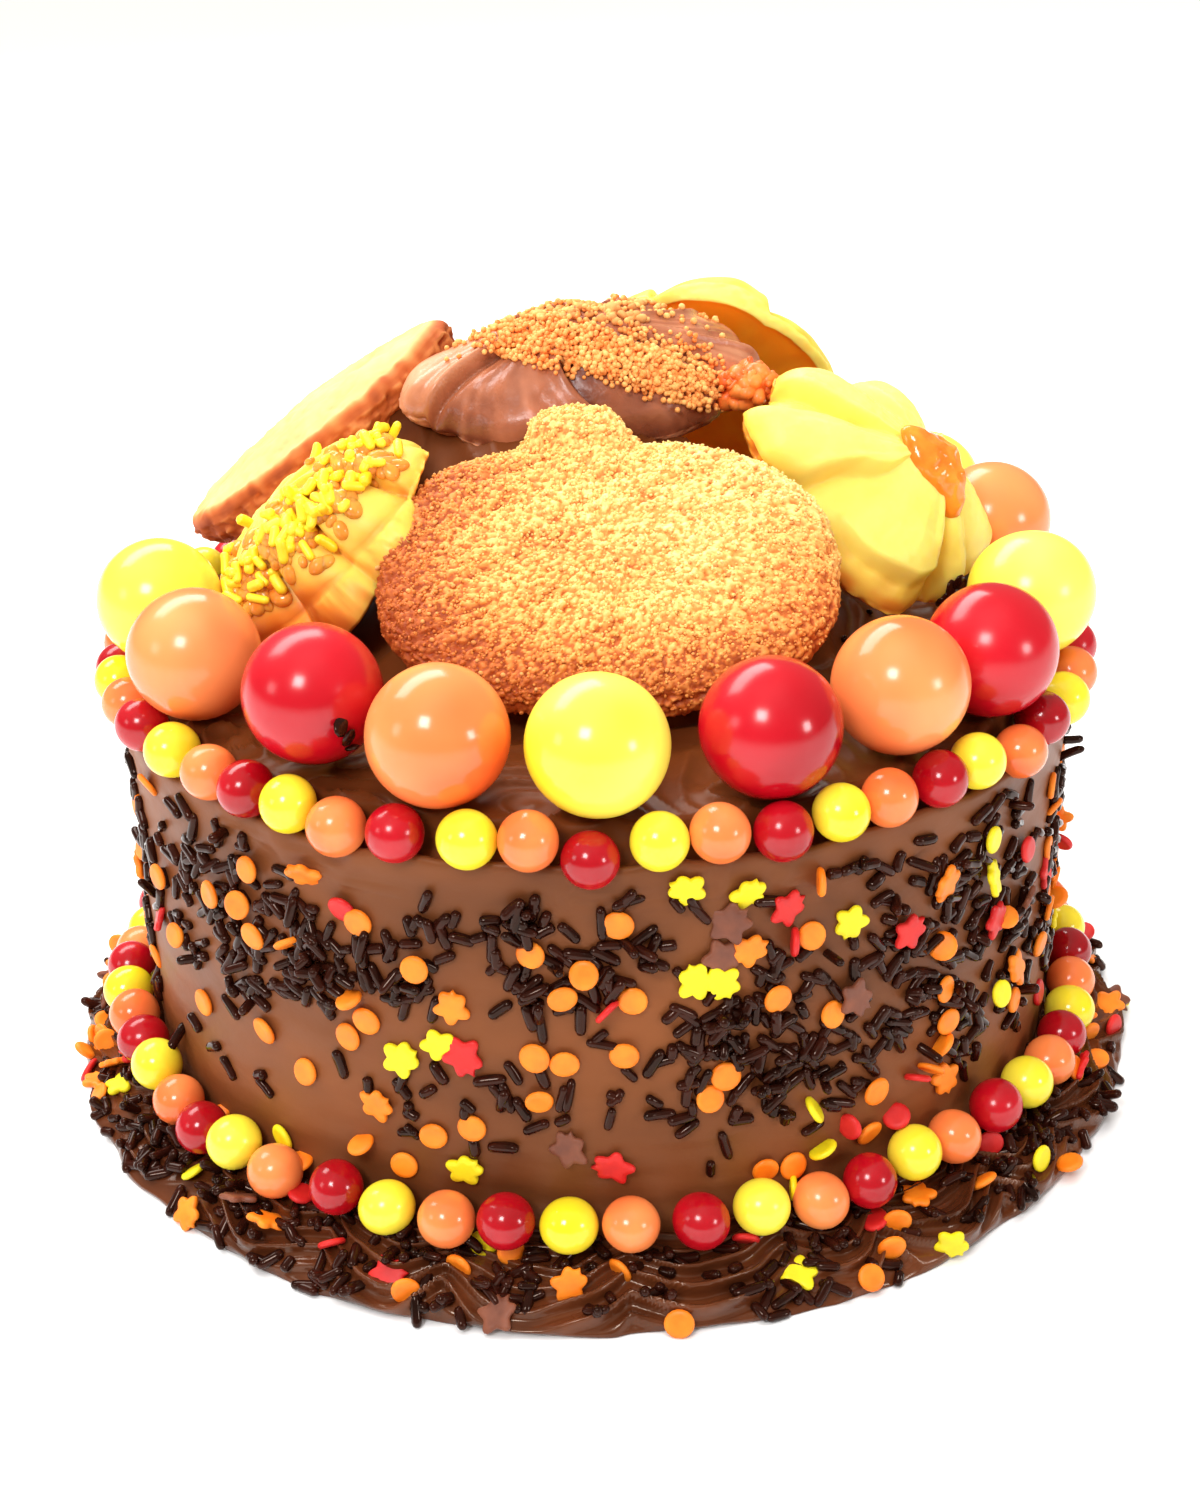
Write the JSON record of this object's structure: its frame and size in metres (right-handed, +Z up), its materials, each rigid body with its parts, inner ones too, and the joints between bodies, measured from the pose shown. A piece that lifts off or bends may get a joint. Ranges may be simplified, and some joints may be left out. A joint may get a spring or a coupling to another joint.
{
  "type": "decorated chocolate cake",
  "caption": "Round frosted chocolate cake with a ridged foot border, rings of small candies, gumballs round the rim and a heap of cookies on top; rests on its flat base.",
  "frame": {"origin": "middle of the flat underside of the cake, on the surface it stands on", "axes": "+Z up, -Y the side seen in front, with the wide cookie leaning towards it, +X to the right of that view"},
  "size_m": [0.234, 0.234, 0.1545],
  "materials": {
    "milk_chocolate_frosting": "satin milk-chocolate frosting with faint spatula marks",
    "dark_chocolate_frosting": "glossy dark chocolate frosting in slanting ridges",
    "candy_yellow": "shiny pearled sugar shell",
    "candy_orange": "shiny pearled sugar shell",
    "candy_red": "shiny sugar shell",
    "sugared_cookie": "baked golden, crusted with coarse sugar grains",
    "chocolate_coating": "smooth piped milk-chocolate dough, band of small orange sugar beads",
    "yellow_icing": "smooth piped yellow dough",
    "amber_icing": "smooth piped light orange dough, yellow sprinkles in jam",
    "plain_biscuit": "pale peach top, cracked tan edge",
    "jam": "clear orange jam"
  },
  "bodies": {
    "root": {"back_leaf_cookie": "yellow_icing", "back_left_flower_cookie": "amber_icing", "back_right_flower_cookie": "yellow_icing", "base_candy_ring": "candy_orange", "cake_body": "milk_chocolate_frosting", "chocolate_rosette_cookie": "chocolate_coating", "gumball_01": "candy_yellow", "gumball_02": "candy_orange", "gumball_03": "candy_red", "gumball_04": "candy_orange", "gumball_05": "candy_yellow", "gumball_06": "candy_red", "gumball_07": "candy_orange", "gumball_08": "candy_red", "gumball_09": "candy_yellow", "gumball_10": "candy_orange", "gumball_11": "candy_yellow", "gumball_12": "candy_red", "gumball_13": "candy_orange", "gumball_14": "candy_yellow", "gumball_15": "candy_red", "gumball_16": "candy_orange", "gumball_17": "candy_yellow", "jam_centre": "jam", "jam_lump": "jam", "left_flower_cookie": "amber_icing", "piped_border": "dark_chocolate_frosting", "pumpkin_cookie": "sugared_cookie", "tan_cookie": "plain_biscuit", "top_candy_ring": "candy_orange", "yellow_flower_cookie": "yellow_icing"}
  },
  "joints": []
}
